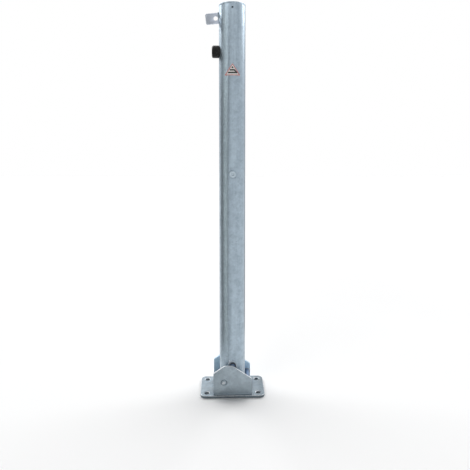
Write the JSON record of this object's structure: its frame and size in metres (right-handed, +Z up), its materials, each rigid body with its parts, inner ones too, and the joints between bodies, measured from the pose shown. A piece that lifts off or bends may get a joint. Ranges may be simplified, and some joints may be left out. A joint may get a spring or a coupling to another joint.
{
  "type": "fold-down bollard",
  "caption": "Galvanised steel post that folds down on a pivot between two cheeks of a bolted base, with a key lock, an eye tab and a rubber buffer.",
  "frame": {"origin": "middle of the base plate's underside, on the ground", "axes": "+Z up along the upright post, -X the side the post folds to, -Y the side of the key lock"},
  "size_m": [0.15, 0.088, 0.9],
  "materials": {
    "galvanised_tube": "hot-dip galvanised, matt with soft spangle and runs",
    "galvanised_plate": "hot-dip galvanised, matt with soft spangle",
    "zinc_plated": "bright zinc plated",
    "spring_steel": "phosphated spring steel",
    "lock_brass": "machined brass",
    "bush_plastic": "moulded matt",
    "buffer_rubber": "moulded matt",
    "label_film": "printed film with a red edge"
  },
  "bodies": {
    "base": {"base_plate": "galvanised_plate", "front_cheek": "galvanised_plate", "rear_cheek": "galvanised_plate", "stop_bar": "galvanised_plate", "pivot_pin": "zinc_plated", "pin_washer": "zinc_plated", "pin_ring": "spring_steel"},
    "post": {"post_tube": "galvanised_tube", "top_cap": "galvanised_tube", "pivot_bosses": "galvanised_plate", "pivot_bushes": "bush_plastic", "eye_tab": "galvanised_plate", "rubber_buffer": "buffer_rubber", "buffer_screw": "zinc_plated", "buffer_washer": "zinc_plated", "rivet_nut": "zinc_plated", "side_plug": "galvanised_tube", "hazard_label": "label_film", "lock_barrel": "zinc_plated", "spindle_ring": "spring_steel", "bolt_guide": "zinc_plated"},
    "spindle": {"key_spindle": "lock_brass"},
    "bolt": {"lock_bolt": "zinc_plated", "cam_pin": "spring_steel"}
  },
  "joints": [
    {"name": "post_fold", "type": "hinge", "parent": "base", "child": "post", "pos_m": [-0.02, 0, 0.034], "axis": [0, -1, 0], "range_deg": [0, 89.5]},
    {"name": "key_turn", "type": "hinge", "parent": "post", "child": "spindle", "pos_m": [0, -0.03, 0.069], "axis": [0, 0.8184, -0.5747], "range_deg": [0, 90]},
    {"name": "bolt_throw", "type": "slide", "parent": "spindle", "child": "bolt", "axis": [0, 0.8184, -0.5747], "range_m": [0, 0.012]}
  ],
  "couplings": [
    {"joint": "key_turn", "follows": "bolt_throw", "rad_per_m": 130.9}
  ]
}
